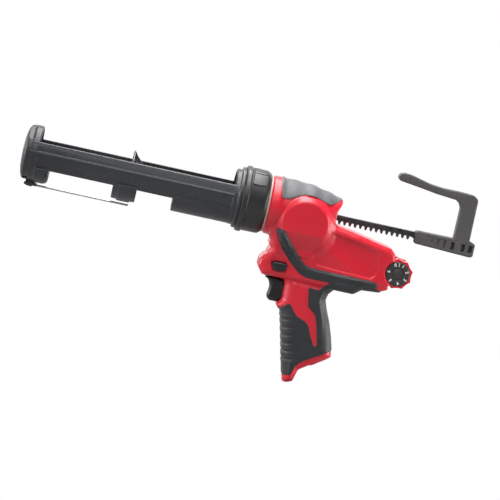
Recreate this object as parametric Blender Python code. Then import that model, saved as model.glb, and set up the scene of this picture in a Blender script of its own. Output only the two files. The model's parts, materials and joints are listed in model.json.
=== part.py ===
"""Battery caulking gun: rotating cartridge carriage, locking collar, clamshell body, rack drive and dial.

Lengths are in millimetres until a mesh is made. X runs back along the barrel, Z is up, and the origin is
the middle of the plunger's front face. Outlines are (x, z) seen from the tool's left side, which is -Y.
"""

import math

import bmesh
import bpy
from mathutils import Matrix, Vector

MM = 0.001
GAP = 0.3

PLUNGER_RADIUS = 24.5
BORE_RADIUS = 26.0
YOKE_FRONT = -110.5
CARTRIDGE_SEAT = -108.0
YOKE_INNER = -95.0
RING_FRONT = 108.6
COLLAR_FRONT = 118.3
COLLAR_REAR = 145.0
COLLAR_RADIUS = 34.5
NECK_FRONT = 147.5
NECK_RADIUS = 30.4
BARREL_REAR = 220.5

GEAR_MODULE = 1.8
PINION_TEETH = 9
PINION_RADIUS = GEAR_MODULE * PINION_TEETH / 2
DRIVE_X = 187.5
DRIVE_Z = -11.7
RACK_PITCH_Z = DRIVE_Z + PINION_RADIUS
RACK_TOP = 4.1
RACK_HALF_WIDTH = 4.0
RACK_REAR = 362.0

WORM_MODULE = 1.25
WHEEL_TEETH = 32
WHEEL_RADIUS = WORM_MODULE * WHEEL_TEETH / 2
WORM_RADIUS = 7.0
MOTOR_Y = 7.0
MOTOR_Z = DRIVE_Z - WHEEL_RADIUS - WORM_RADIUS
PLANET_MODULE = 0.65
SUN_TEETH = 12
PLANET_TEETH = 12
RING_TEETH = 36
PLANET_ORBIT = PLANET_MODULE * (SUN_TEETH + PLANET_TEETH) / 2
TOOTH_SLACK = 0.22
PRESSURE_ANGLE = math.radians(22)

WALL = 2.6
BODY_HALF_WIDTH = 24.0
DOME_FLOOR = -19.4
SHAFT_RADIUS = 3.2
BEARING_RADIUS = 5.9
HANDLE_HALF_WIDTH = 18.5
RUBBER = 1.5
SPLIT = 0.15
DIAL_X = 293.9
DIAL_Z = -41.7
DIAL_RADIUS = 15.6
DIAL_BUMPS = 9
DIAL_FACE_RADIUS = 12.6
DIAL_ROOM_RADIUS = 17.4
DIAL_ROOM_HALF_WIDTH = 17.9
WIRE_RADIUS = 1.1
WIRE_PIVOT = (-99.0, -33.0)
PIN_BORE_RADIUS = 2.1
PIN_RADIUS = 1.8
PLUNGER_PIN = (9.6, 0, -0.5)
HOOK_PIN = (322, 0, -1)
SCREW_RADIUS = 1.4
SCREW_HEAD_RADIUS = 2.8
BODY_HEAD_Y = 21.0
HANDLE_HEAD_Y = 12.6
BODY_SCREWS = ((157.5, -20.0), (159.5, -65.0), (263.5, -22.8), (257.0, -60.0))
HANDLE_SCREWS = ((225.0, -96.0), (191.0, -110.0))
SCREWS = (
    *((x, z, BODY_HEAD_Y) for x, z in BODY_SCREWS),
    *((x, z, HANDLE_HEAD_Y) for x, z in HANDLE_SCREWS),
)

BODY_OUTLINE = (
    (153, -14), (153.5, -22), (156.5, -31), (160, -45), (151.5, -57), (150.8, -65), (156.8, -72.6),
    (254, -72.3), (261, -66.4), (279, -65), (290, -59.5), (294.5, -50), (294.5, -34), (290.5, -24),
    (283, -18.4), (268.5, -15.8), (246, -11), (221, -6.5), (190, -5),
)
HANDLE_OUTLINE = (
    (176, -66), (181.5, -77), (182.5, -90), (177.7, -100.5), (183.4, -104.5), (187, -119), (193, -142.2),
    (199.3, -171), (202, -175.4), (212.7, -174.4), (216.4, -160.5), (240.1, -144), (245.4, -139.4),
    (242.8, -124.8), (239.4, -113.4), (230.9, -94.4), (227.6, -84.5), (231, -77), (231, -66),
)
GRIP_OUTLINE = (
    (172, -104.5), (181.5, -101.5), (189.4, -95.2), (192.7, -96.3), (201.9, -107.1), (212, -111), (225, -135),
    (228, -133), (223.8, -114.5), (219.7, -101.9), (210.1, -94.3), (206.6, -76), (255, -76), (255, -130),
    (244.5, -136), (217.4, -152), (211.6, -157), (207, -169), (190, -172.5),
)
STRIPE_OUTLINE = (
    (159.4, -19.9), (168.5, -19.9), (179.5, -34), (192.5, -48), (198.5, -52.8), (269.6, -54), (277, -56.6),
    (272.7, -62), (220.7, -65), (193.3, -62.6), (179.6, -51), (168.4, -38.7), (160.6, -26),
)
TRIGGER_OUTLINE = (
    (159.5, -73.4), (163.7, -75.5), (166.7, -79.6), (167.7, -85.5), (166.7, -91.9), (167.2, -95.8),
    (170, -98.2), (176.2, -98.2), (187.5, -95), (187.5, -76), (180, -73.4),
)
BUTTON_OUTLINE = ((163.1, -57), (165, -55.4), (178, -55.4), (179.9, -57.8), (176.8, -63.4), (166.6, -64.4))
HOOK_OUTLINE = (
    (275, 52.9), (274, 55.8), (276, 60.2), (280, 62), (301, 58.2), (323.5, 55.2), (355.5, 54), (361.2, 50.5),
    (361.2, 7.2), (368.4, 4), (367.6, -8.6), (364.5, -10), (304.2, -8.6), (303.6, 4.6), (307, 5.9),
    (344.2, 5.9), (346, 41), (342, 45.2), (316.4, 47.4), (295.6, 50.8),
)
SADDLE_RANGE = (-14.0, 11.0)
CRADLE_RANGE = (49.2, 112.0)


def material(name, color, roughness, metallic=0.0):
    made = bpy.data.materials.new(name)
    made.use_nodes = True
    shader = made.node_tree.nodes["Principled BSDF"]
    shader.inputs["Base Color"].default_value = (*color, 1.0)
    shader.inputs["Roughness"].default_value = roughness
    shader.inputs["Metallic"].default_value = metallic
    return made


def make_materials():
    return {
        "red_plastic": material("red_plastic", (0.62, 0.015, 0.03), 0.35),
        "black_plastic": material("black_plastic", (0.03, 0.032, 0.035), 0.45),
        "grey_rubber": material("grey_rubber", (0.09, 0.095, 0.1), 0.75),
        "black_rubber": material("black_rubber", (0.025, 0.026, 0.028), 0.7),
        "steel": material("steel", (0.55, 0.55, 0.56), 0.3, 1.0),
        "dark_steel": material("dark_steel", (0.06, 0.06, 0.065), 0.4, 0.8),
        "cream_plastic": material("cream_plastic", (0.7, 0.66, 0.58), 0.5),
        "brass": material("brass", (0.7, 0.5, 0.2), 0.35, 1.0),
        "circuit_board": material("circuit_board", (0.02, 0.16, 0.06), 0.5),
    }


def object_from(name, bm):
    """A named object from a bmesh in millimetres, with flat facets and outward faces."""
    bmesh.ops.recalc_face_normals(bm, faces=bm.faces)
    bmesh.ops.scale(bm, vec=(MM, MM, MM), verts=bm.verts)
    mesh = bpy.data.meshes.new(name)
    bm.to_mesh(mesh)
    bm.free()
    made = bpy.data.objects.new(name, mesh)
    bpy.context.scene.collection.objects.link(made)
    return made


def signed_area(outline):
    pairs = zip(outline, outline[1:] + outline[:1])
    return sum(a[0] * b[1] - b[0] * a[1] for a, b in pairs) / 2


def shrink(outline, depth):
    """The outline moved inwards by depth, with mitred corners."""
    points = [Vector(p) for p in outline]
    turn = 1 if signed_area(list(outline)) > 0 else -1
    moved = []
    for i, here in enumerate(points):
        before = (here - points[i - 1]).normalized()
        after = (points[(i + 1) % len(points)] - here).normalized()
        normal_a = Vector((-before.y, before.x)) * turn
        normal_b = Vector((-after.y, after.x)) * turn
        middle = (normal_a + normal_b).normalized()
        moved.append(here + middle * depth / max(0.35, middle.dot(normal_a)))
    return [(p.x, p.y) for p in moved]


def loft(name, sections):
    """One closed body through rings that have the same number of points."""
    bm = bmesh.new()
    rings = [[bm.verts.new(p) for p in section] for section in sections]
    for near, far in zip(rings, rings[1:]):
        for i in range(len(near)):
            j = (i + 1) % len(near)
            bm.faces.new((near[i], near[j], far[j], far[i]))
    bm.faces.new(rings[0])
    bm.faces.new(list(reversed(rings[-1])))
    return object_from(name, bm)


def slab(name, outline, levels):
    """An (x, z) outline carried along Y; each level is (y, how far the outline shrinks)."""
    sections = [[(x, y, z) for x, z in shrink(outline, depth)] for y, depth in levels]
    return loft(name, sections)


def plate(name, outline, y0, y1):
    return slab(name, outline, ((y0, 0.0), (y1, 0.0)))


def rod_section(name, outline, x0, x1):
    """A (y, z) outline carried along X."""
    return loft(name, [[(x, y, z) for y, z in outline] for x in (x0, x1)])


def block(name, xs, ys, zs):
    outline = ((xs[0], zs[0]), (xs[1], zs[0]), (xs[1], zs[1]), (xs[0], zs[1]))
    return plate(name, outline, ys[0], ys[1])


def turned(name, profile, axis="X", centre=(0.0, 0.0, 0.0), sides=32, sector=None):
    """A turned solid. The profile is a closed run of (along the axis, radius); sector is in degrees."""
    bm = bmesh.new()
    start, end = sector or (0.0, 360.0)
    steps = sides if sector is None else max(2, round(sides * (end - start) / 360))
    count = steps if sector is None else steps + 1
    rings = []
    for i in range(count):
        angle = math.radians(start + (end - start) * i / steps)
        ring = []
        for along, radius in profile:
            across, up = radius * math.cos(angle), radius * math.sin(angle)
            spot = (along, across, up) if axis == "X" else (across, along, up)
            ring.append(bm.verts.new(Vector(spot) + Vector(centre)))
        rings.append(ring)
    for i in range(steps):
        near, far = rings[i], rings[(i + 1) % count]
        for j in range(len(profile)):
            k = (j + 1) % len(profile)
            bm.faces.new((near[j], near[k], far[k], far[j]))
    if sector:
        bm.faces.new(rings[0])
        bm.faces.new(list(reversed(rings[-1])))
    bmesh.ops.remove_doubles(bm, verts=bm.verts, dist=1e-5)
    bmesh.ops.dissolve_degenerate(bm, edges=bm.edges, dist=1e-6)
    for edge in [e for e in bm.edges if not e.link_faces]:
        bm.edges.remove(edge)
    return object_from(name, bm)


def cylinder(name, start, end, radius, axis="Y", centre=(0.0, 0.0, 0.0), sides=16):
    profile = ((start, 0.0), (start, radius), (end, radius), (end, 0.0))
    return turned(name, profile, axis, centre, sides)


def tube(name, start, end, inner, outer, axis="X", centre=(0.0, 0.0, 0.0), sides=32, sector=None):
    profile = ((start, inner), (start, outer), (end, outer), (end, inner))
    return turned(name, profile, axis, centre, sides, sector=sector)


def combine(target, other, operation):
    modifier = target.modifiers.new(operation.lower(), "BOOLEAN")
    modifier.operation = operation
    modifier.solver = "EXACT"
    modifier.object = other
    bpy.context.view_layer.update()
    evaluated = target.evaluated_get(bpy.context.evaluated_depsgraph_get())
    mesh = bpy.data.meshes.new_from_object(evaluated)
    target.modifiers.clear()
    target.data = mesh
    bpy.data.objects.remove(other)
    tidy_mesh(mesh)
    return target


def tidy_mesh(mesh):
    """Closes up the slivers that a Boolean leaves."""
    bm = bmesh.new()
    bm.from_mesh(mesh)
    bmesh.ops.remove_doubles(bm, verts=bm.verts, dist=2e-6)
    bmesh.ops.dissolve_degenerate(bm, edges=bm.edges, dist=1e-6)
    bmesh.ops.triangulate(bm, faces=bm.faces)
    bm.to_mesh(mesh)
    bm.free()


def merge_flat_faces(mesh):
    """Rebuilds each flat area from as few triangles as it needs."""
    bm = bmesh.new()
    bm.from_mesh(mesh)
    bmesh.ops.dissolve_limit(bm, angle_limit=math.radians(0.4), verts=bm.verts, edges=bm.edges)
    bmesh.ops.triangulate(bm, faces=bm.faces)
    bm.to_mesh(mesh)
    bm.free()


def cut(target, *cutters):
    for cutter in cutters:
        combine(target, cutter, "DIFFERENCE")
    return target


def weld(target, *others):
    for other in others:
        combine(target, other, "UNION")
    return target


def keep(target, region):
    return combine(target, region, "INTERSECT")


def copy_of(source, name):
    made = source.copy()
    made.data = source.data.copy()
    made.name = name
    bpy.context.scene.collection.objects.link(made)
    return made


def finish(made, look, origin=(0.0, 0.0, 0.0)):
    """Gives the piece its one material and puts its origin on its joint's axis."""
    merge_flat_faces(made.data)
    made.data.materials.clear()
    made.data.materials.append(look)
    shift = Vector(origin) * MM
    made.data.transform(Matrix.Translation(-shift))
    made.location = shift
    made.data.shade_smooth()
    made.data.set_sharp_from_angle(angle=math.radians(32))
    return made


def gear_outline(teeth, module, turn=0.0, internal=False):
    """Straight-flanked teeth, slightly thin so that a pair runs free."""
    pitch_radius = teeth * module / 2
    half_tooth = math.pi * module / 4 * (1 - TOOTH_SLACK)
    slope = math.tan(PRESSURE_ANGLE)
    side = -1 if internal else 1
    tip = pitch_radius + side * 0.9 * module
    root = pitch_radius - side * 1.2 * module
    tip_half = half_tooth - 0.9 * module * slope
    root_half = min(half_tooth + 1.2 * module * slope, math.pi * root / teeth * 0.96)
    flank = ((root, -root_half), (tip, -tip_half), (tip, tip_half), (root, root_half))
    points = []
    for tooth in range(teeth):
        middle = turn + 2 * math.pi * tooth / teeth
        for radius, half in flank:
            angle = middle + half / radius
            points.append((radius * math.cos(angle), radius * math.sin(angle)))
    return points


# Carriage, collar and wire


def make_carriage(looks):
    frame = turned("carriage_frame", (
        (RING_FRONT, BORE_RADIUS), (RING_FRONT, 28.2), (110, 29.2), (114, 29.2), (114.3, 32), (118, 32),
        (118, 28), (137, 28), (137, BORE_RADIUS),
    ))
    rail = ((-28.2, 13.6), (-28.2, 2), (-25.2, -13.7), (-22.8, -13.7), (-25.9, 2), (-25.9, 13.6))
    mirrored = [(-y, z) for y, z in rail]
    for outline in (rail, mirrored):
        weld(frame, rod_section("rail", outline, YOKE_INNER - 6, RING_FRONT + 3))
    for x0, x1, outer in ((*SADDLE_RANGE, 30.2), (*CRADLE_RANGE, 28.8)):
        weld(frame, tube("sling", x0, x1, BORE_RADIUS, outer, sector=(202, 338)))
    weld(frame, tube("hoop", YOKE_FRONT, YOKE_INNER, BORE_RADIUS, 28.6))
    weld(frame, tube("hoop_toe", YOKE_INNER - 2, YOKE_INNER + 13, BORE_RADIUS, 30.0, sector=(208, 332)))
    weld(frame, cylinder("end_wall", YOKE_FRONT - 0.4, CARTRIDGE_SEAT, 28.2, axis="X", sides=32))
    for side in (-1, 1):
        ys = sorted((side * 2.0, side * 4.6))
        weld(frame, block("wire_lug", (WIRE_PIVOT[0] - 5.5, WIRE_PIVOT[0] + 7.5), ys, (-35.4, -27.6)))
        weld(frame, block("wire_clip", (-4.5, 5.0), sorted((side * 1.5, side * 3.6)), (-35.2, -29)))
    slot = [(-9, 34), (-9, 0)]
    slot += [(-9 * math.cos(math.pi * k / 8), -9 * math.sin(math.pi * k / 8)) for k in range(1, 8)]
    slot += [(9, 0), (9, 34)]
    cut(frame, rod_section("nozzle_slot", slot, YOKE_FRONT - 5, YOKE_FRONT + 6))
    pivot = (WIRE_PIVOT[0], 0, WIRE_PIVOT[1])
    cut(frame, cylinder("pivot_hole", -9, 9, WIRE_RADIUS + GAP, centre=pivot, sides=12))
    lug = ((128, 27), (128, 30.4), (132, 30.4), (132, 27))
    for start in (20, 140, 260):
        weld(frame, turned("bayonet_lug", lug, sector=(start, start + 24)))
    return finish(frame, looks["black_plastic"])


def make_collar(looks):
    profile = (
        (COLLAR_FRONT, 28.4), (COLLAR_FRONT, 33.9), (119, COLLAR_RADIUS), (124, COLLAR_RADIUS),
        (124.8, 33.7), (142.4, 33.5), (COLLAR_REAR, 30.8), (COLLAR_REAR, 28.4), (133, 28.4), (133, 31),
        (127, 31), (127, 28.4),
    )
    collar = turned("locking_collar", profile, sides=32)
    for k in range(16):
        groove = block("groove", (126, 141.5), (32.7, 36), (-1.1, 1.1))
        groove.data.transform(Matrix.Rotation(2 * math.pi * (k + 0.25) / 16, 4, "X"))
        cut(collar, groove)
    for start in (65, 185, 305):
        slot = ((COLLAR_FRONT - 1, 28), (COLLAR_FRONT - 1, 31), (127.5, 31), (127.5, 28))
        cut(collar, turned("bayonet_slot", slot, sector=(start, start + 28)))
    finish(collar, looks["black_plastic"])
    ring = tube("neck_seal_ring", COLLAR_REAR + GAP, NECK_FRONT - GAP, 28.3, 30.2)
    finish(ring, looks["cream_plastic"])


def make_wire(looks):
    x, z = WIRE_PIVOT
    rod = cylinder("puncture_wire", x, 6.0, WIRE_RADIUS, axis="X", centre=(0, 0, z), sides=10)
    weld(rod, cylinder("pivot_leg", -6.4, 6.4, WIRE_RADIUS, centre=(x, 0, z), sides=10))
    return finish(rod, looks["steel"], (x, 0, z))


# Rack, plunger and hook


def rack_outline():
    pitch = math.pi * GEAR_MODULE
    half_tooth = pitch / 4 * (1 - TOOTH_SLACK)
    slope = math.tan(PRESSURE_ANGLE)
    tip, root = RACK_PITCH_Z - 0.9 * GEAR_MODULE, RACK_PITCH_Z + 1.2 * GEAR_MODULE
    tip_half, root_half = half_tooth - 0.9 * GEAR_MODULE * slope, half_tooth + 1.2 * GEAR_MODULE * slope
    points = [(4.3, RACK_TOP), (4.3, tip), (48, tip)]
    for k in range(-24, 20):
        x = DRIVE_X + pitch * (k + 0.5)
        points += [(x - root_half, root), (x - tip_half, tip), (x + tip_half, tip), (x + root_half, root)]
    return points + [(RACK_REAR - 52, tip), (RACK_REAR, tip), (RACK_REAR, RACK_TOP)]


def make_rack(looks):
    rack = plate("rack_bar", rack_outline(), -RACK_HALF_WIDTH, RACK_HALF_WIDTH)
    for pin in (PLUNGER_PIN, HOOK_PIN):
        cut(rack, cylinder("pin_hole", -9, 9, PIN_BORE_RADIUS, centre=pin))
    return finish(rack, looks["dark_steel"])


def make_plunger(looks):
    disc = turned("plunger_disc", (
        (0, 0), (0, PLUNGER_RADIUS - 0.6), (0.6, PLUNGER_RADIUS), (2.2, PLUNGER_RADIUS), (2.2, 10.5),
        (14, 9.8), (14, 0),
    ))
    fin = ((1.5, 9), (1.5, 23.8), (2.8, 22.6), (11.4, 13.6), (13.8, 9))
    for k in range(4):
        gusset = plate("gusset", fin, -1.5, 1.5)
        gusset.data.transform(Matrix.Rotation(math.pi * k / 2, 4, "X"))
        weld(disc, gusset)
    cut(disc, block("rack_pocket", (4, 16), (-4.3, 4.3), (-5.6, 4.4)))
    cut(disc, cylinder("pin_hole", -16, 16, PIN_BORE_RADIUS, centre=PLUNGER_PIN))
    finish(disc, looks["dark_steel"])
    finish(cylinder("plunger_pin", -10, 10, PIN_RADIUS, centre=PLUNGER_PIN), looks["steel"])


def make_hook(looks):
    levels = ((-6.5, 1.0), (-5.5, 0), (5.5, 0), (6.5, 1.0))
    hook = slab("hook_handle", HOOK_OUTLINE, levels)
    cut(hook, block("rack_pocket", (300, RACK_REAR + GAP), (-4.3, 4.3), (-5.6, 4.4)))
    for x in (329, 336, 345, 355):
        cut(hook, block("side_slot", (x - 1.5, x + 1.5), (-8, 8), (-5, 3)))
    cut(hook, cylinder("pin_hole", -9, 9, PIN_BORE_RADIUS, centre=HOOK_PIN))
    finish(hook, looks["black_plastic"])
    finish(cylinder("hook_pin", -6.3, 6.3, PIN_RADIUS, centre=HOOK_PIN), looks["steel"])


# Body shells


def body_levels(margin):
    """Levels of the body's side-to-side section, drawn in by a margin on every side."""
    wide = BODY_HALF_WIDTH - margin
    return ((-wide, margin + 3.5), (3.5 - wide, margin), (wide - 3.5, margin), (wide, margin + 3.5))


def handle_solid(name, margin):
    wide = HANDLE_HALF_WIDTH - margin
    levels = ((-wide, margin + 3.4), (3.2 - wide, margin + 0.8), (9 - wide, margin))
    mirrored = tuple((-y, depth) for y, depth in reversed(levels))
    return slab(name, HANDLE_OUTLINE, levels + mirrored)


def outer_shape(name):
    """The whole body as one solid, with the handle's rubber recessed."""
    barrel_profile = (
        (139.3, 0), (139.3, 27.9), (NECK_FRONT, 27.9), (NECK_FRONT, 29.7), (148.3, NECK_RADIUS),
        (182, NECK_RADIUS), (200, 27.2), (213, 23.6), (BARREL_REAR, 19.5), (BARREL_REAR, 0),
    )
    body = turned(name, barrel_profile)
    weld(body, slab("body", BODY_OUTLINE, body_levels(0.0)))
    dome = turned("dome", (
        (-31.5, 0), (-31.5, 22), (-29.5, 27), (-26, 28.5), (26, 28.5), (29.5, 27), (31.5, 22), (31.5, 0),
    ), "Y", (DRIVE_X, 0, DRIVE_Z + 0.7))
    weld(body, cut(dome, block("below", (150, 230), (-40, 40), (-60, DOME_FLOOR))))
    skin = handle_solid("skin", 0.0)
    cut(skin, plate("grip_recess", shrink(GRIP_OUTLINE, -GAP), -30, 30))
    weld(body, weld(handle_solid("core", RUBBER + GAP), skin))
    at = (DIAL_X, 0, DIAL_Z)
    half = DIAL_ROOM_HALF_WIDTH
    cut(body, cylinder("dial_room", -half, half, DIAL_ROOM_RADIUS, centre=at, sides=32))
    cut(body, cylinder("dial_window", -30, 30, DIAL_FACE_RADIUS + 0.9, centre=at, sides=32))
    tongue = plate("tongue", ((268, -52), (292, -50.4), (292, -33), (268, -31)), -5.5, 5.5)
    weld(tongue, cylinder("boss", -5.5, 5.5, 9, centre=at))
    weld(body, tongue)
    return body


def hollow(body):
    cut(body, turned("barrel_hollow", (
        (142, 0), (142, 24.6), (150.4, 27.6), (182, 27.6), (199, 24.6), (212, 21), (217.7, 17), (217.7, 0),
    )))
    dial_wall = cylinder("dial_wall", -30, 30, DIAL_ROOM_RADIUS + WALL, centre=(DIAL_X, 0, DIAL_Z), sides=32)
    cut(body, cut(slab("body_hollow", BODY_OUTLINE, body_levels(WALL)), dial_wall))
    dome = turned("dome_hollow", (
        (-28.8, 0), (-28.8, 20), (-25.5, 25.6), (25.5, 25.6), (28.8, 20), (28.8, 0),
    ), "Y", (DRIVE_X, 0, DRIVE_Z + 0.7))
    cut(body, cut(dome, block("below", (150, 230), (-40, 40), (-60, DOME_FLOOR + WALL))))
    socket = (
        (182.5, -70), (186.5, -90), (188.5, -104), (191.3, -119), (197.5, -143), (208.5, -183), (222, -183),
        (232, -140), (236.5, -133), (233, -117), (225, -96), (222.5, -84), (224.5, -70),
    )
    levels = ((-13.4, 3.2), (-10, 0), (10, 0), (13.4, 3.2))
    cut(body, slab("handle_hollow", socket, levels))
    cut(body, cylinder("pot_pocket", -3.5, 3.5, 6.6, centre=(DIAL_X, 0, DIAL_Z)))
    return body


def openings(body):
    cut(body, cylinder("rack_bore", 135, 145, 9.0, axis="X"))
    cut(body, block("rack_exit", (214, 224), (-5.2, 5.2), (-6.6, 5.2)))
    cut(body, block("trigger_slot", (156, 190), (-8.4, 8.4), (-98.6, -72.9)))
    cut(body, plate("button_hole", shrink(BUTTON_OUTLINE, -0.4), -30, 30))
    cut(body, cylinder("axle_hole", -9, 9, 2.4, centre=(DIAL_X, 0, DIAL_Z)))
    for x, z, head in SCREWS:
        half = head + 1.5
        weld(body, cylinder("screw_boss", -half, half, 2.9, centre=(x, 0, z), sides=8))
    at = (DRIVE_X, 0, DRIVE_Z)
    for side in (-1, 1):
        seat = sorted((side * 21.6, side * 29.5))
        pocket = sorted((side * 15, side * 28.8))
        weld(body, cylinder("bearing_seat", *seat, BEARING_RADIUS + 1.7, centre=at))
        cut(body, cylinder("bearing_pocket", *pocket, BEARING_RADIUS + GAP, centre=at))
    for x, z, head in SCREWS:
        screw = (x, 0, z)
        cut(body, cylinder("screw_hole", -12, 40, SCREW_RADIUS + GAP, centre=screw, sides=8))
        cut(body, cylinder("head_pocket", head - GAP, 40, SCREW_HEAD_RADIUS + GAP, centre=screw, sides=8))
    return body


def pad_sector(name, inner, outer, grow, sector):
    front, rear = 156.6 - grow, 218.6 + grow
    profile = (
        (front, outer), (182, outer), (200, outer - 3.2), (213, outer - 6.8), (rear, outer - 9.6),
        (rear, inner - 9.6), (213, inner - 6.8), (200, inner - 3.2), (182, inner), (front, inner),
    )
    return turned(name, profile, sector=sector)


def make_housing(looks):
    whole = openings(hollow(outer_shape("housing")))
    cut(whole, pad_sector("pad_recess", NECK_RADIUS - RUBBER - GAP, NECK_RADIUS + 4, GAP, (39.4, 140.6)))
    left = cut(copy_of(whole, "housing_left"), block("split", (100, 340), (-SPLIT, 60), (-200, 80)))
    right = cut(whole, block("split", (100, 340), (-60, SPLIT), (-200, 80)))
    right.name = "housing_right"
    for half in (left, right):
        finish(half, looks["red_plastic"])


def make_rubber(looks):
    pad = pad_sector("top_grip_pad", NECK_RADIUS - RUBBER, NECK_RADIUS + 0.3, 0.0, (40, 140))
    finish(pad, looks["grey_rubber"])
    for side, name in ((-1, "left"), (1, "right")):
        inner, outer = side * (BODY_HALF_WIDTH + GAP), side * (BODY_HALF_WIDTH + GAP + 1.7)
        levels = sorted(((inner, 0.0), (outer - side * 0.7, 0.0), (outer, 0.7)))
        finish(slab(f"side_bumper_{name}", STRIPE_OUTLINE, levels), looks["black_rubber"])
        grip = keep(handle_solid(f"handle_grip_{name}", 0.0), plate("area", GRIP_OUTLINE, -30, 30))
        cut(grip, handle_solid("core", RUBBER))
        ys = sorted((side * SPLIT, side * 40))
        keep(grip, block("half", (100, 340), ys, (-200, 80)))
        if side > 0:
            for x, z in HANDLE_SCREWS:
                cut(grip, cylinder("driver_hole", 10, 30, 3.2, centre=(x, 0, z), sides=8))
        finish(grip, looks["black_rubber"])


def make_screws(looks):
    for number, (x, z, head) in enumerate(SCREWS, 1):
        top = head + 1.8
        profile = (
            (-11, 0), (-11, SCREW_RADIUS), (head, SCREW_RADIUS), (head, SCREW_HEAD_RADIUS),
            (top, SCREW_HEAD_RADIUS), (top, 1.2), (top - 1.1, 1.2), (top - 1.1, 0),
        )
        screw = turned(f"housing_screw_{number}", profile, "Y", (x, 0, z), 8)
        finish(screw, looks["dark_steel"])


# Controls


def make_controls(looks):
    levels = ((-7.8, 1.4), (-6.2, 0), (6.2, 0), (7.8, 1.4))
    finish(slab("trigger", TRIGGER_OUTLINE, levels), looks["black_plastic"], (180, 0, -85))
    button = slab("lock_button", BUTTON_OUTLINE, ((-26.6, 0.8), (-25.8, 0), (22.4, 0), (23.2, 0.8)))
    finish(button, looks["black_plastic"], (171, 0, -60))
    switch = block("trigger_switch", (195, 217), (-8, 8), (-98, -76.5))
    finish(switch, looks["black_plastic"])
    board = block("control_board", (203, 250), (-13, 13), (-62.4, -60.8))
    finish(board, looks["circuit_board"])
    terminals = block("battery_terminals", (200, 218), (-9.6, 9.6), (-122, -113))
    for y in (-5, 0, 5):
        weld(terminals, block("blade", (203, 215), (y - 0.5, y + 0.5), (-130, -121)))
    finish(terminals, looks["brass"])


def make_dial(looks):
    at = (DIAL_X, 0, DIAL_Z)
    finish(tube("speed_pot", -3.2, 3.2, 2.4, 6.2, "Y", at, 24), looks["black_plastic"])
    finish(cylinder("dial_axle", -15, 15, 2.0, centre=at, sides=16), looks["steel"], at)
    rim = []
    steps = DIAL_BUMPS * 6
    for k in range(steps):
        angle = 2 * math.pi * k / steps
        radius = DIAL_RADIUS + 0.6 * math.cos(DIAL_BUMPS * angle)
        rim.append((DIAL_X + radius * math.cos(angle), DIAL_Z + radius * math.sin(angle)))
    for side, name in ((-1, "left"), (1, "right")):
        ys = sorted((side * 6.0, side * 17.5))
        wheel = plate(f"dial_wheel_{name}", rim, *ys)
        pocket = sorted((side * 15.3, side * 20))
        cut(wheel, cylinder("face_pocket", *pocket, DIAL_FACE_RADIUS + GAP, centre=at, sides=36))
        cut(wheel, cylinder("bore", -30, 30, 2.3, centre=at, sides=16))
        finish(wheel, looks["red_plastic"], at)
        face_ys = sorted((side * 15.6, side * 18.4))
        face = cylinder(f"dial_face_{name}", *face_ys, DIAL_FACE_RADIUS, centre=at, sides=36)
        finish(face, looks["black_plastic"], at)


# Drive


def make_rack_drive(looks):
    at = (DRIVE_X, 0, DRIVE_Z)
    finish(cylinder("drive_shaft", -28.4, 28.4, SHAFT_RADIUS, centre=at), looks["steel"], at)
    outline = [(x + DRIVE_X, z + DRIVE_Z) for x, z in gear_outline(PINION_TEETH, GEAR_MODULE, math.pi / 2)]
    bore = cylinder("bore", -9, 9, SHAFT_RADIUS + GAP, centre=at)
    pinion = cut(plate("drive_pinion", outline, -4.8, 4.0), bore)
    finish(pinion, looks["steel"], at)
    for side, name in ((-1, "left"), (1, "right")):
        ys = sorted((side * 22.0, side * 28.3))
        bearing = tube(f"drive_bearing_{name}", *ys, SHAFT_RADIUS + GAP, BEARING_RADIUS, "Y", at, 16)
        finish(bearing, looks["steel"])
    for name, x0, x1, half in (("front", 152.0, 160.0, 19.0), ("rear", 208.5, 216.0, 14.0)):
        guide = block(f"rack_guide_{name}", (x0, x1), (-half, half), (-9, 8))
        cut(guide, block("channel", (x0 - 5, x1 + 5), (-4.4, 4.4), (-5.7, 4.5)))
        finish(guide, looks["black_plastic"])


def make_worm_wheel(looks):
    at = (DRIVE_X, 0, DRIVE_Z)
    lead_angle = WORM_MODULE / (2 * WORM_RADIUS)
    sections = []
    for y in (MOTOR_Y - 2.6, MOTOR_Y + 2.6):
        turn = -math.pi / 2 - (y - MOTOR_Y) * lead_angle / WHEEL_RADIUS
        outline = gear_outline(WHEEL_TEETH, WORM_MODULE, turn)
        sections.append([(DRIVE_X + x, y, DRIVE_Z + z) for x, z in outline])
    wheel = loft("worm_wheel", sections)
    cut(wheel, cylinder("bore", -2, 20, SHAFT_RADIUS + GAP, centre=at))
    finish(wheel, looks["brass"], at)


def worm_radius(phase):
    """Radius along one turn of the thread: root, flank, crest, flank."""
    root, tip = WORM_RADIUS - 1.2 * WORM_MODULE, WORM_RADIUS + 0.85 * WORM_MODULE
    crest, foot = 0.13, 0.33
    distance = abs((phase + 0.5) % 1.0 - 0.5)
    share = min(1.0, max(0.0, (distance - crest / 2) / (foot - crest / 2)))
    return tip + (root - tip) * share


def make_carrier(looks):
    lead = math.pi * WORM_MODULE
    sides, rows = 16, 30
    x0, x1 = DRIVE_X - 9.0, DRIVE_X + 9.0
    sections = []
    for row in range(rows + 1):
        x = x0 + (x1 - x0) * row / rows
        ring = []
        for k in range(sides):
            angle = 2 * math.pi * k / sides
            radius = worm_radius((x - DRIVE_X) / lead + 0.5 - (angle - math.pi / 2) / (2 * math.pi))
            ring.append((x, MOTOR_Y + radius * math.cos(angle), MOTOR_Z + radius * math.sin(angle)))
        sections.append(ring)
    carrier = loft("planet_carrier", sections)
    at = (0, MOTOR_Y, MOTOR_Z)
    weld(carrier, cylinder("spindle", x0 - 5, 217.2, 3.6, "X", at, 24))
    weld(carrier, cylinder("spider", 215.4, 217.2, 10.4, "X", at, 32))
    for k in range(3):
        weld(carrier, cylinder("planet_pin", 216.5, 226.0, 1.2, "X", planet_centre(k), 12))
    return finish(carrier, looks["steel"], at)


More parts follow.
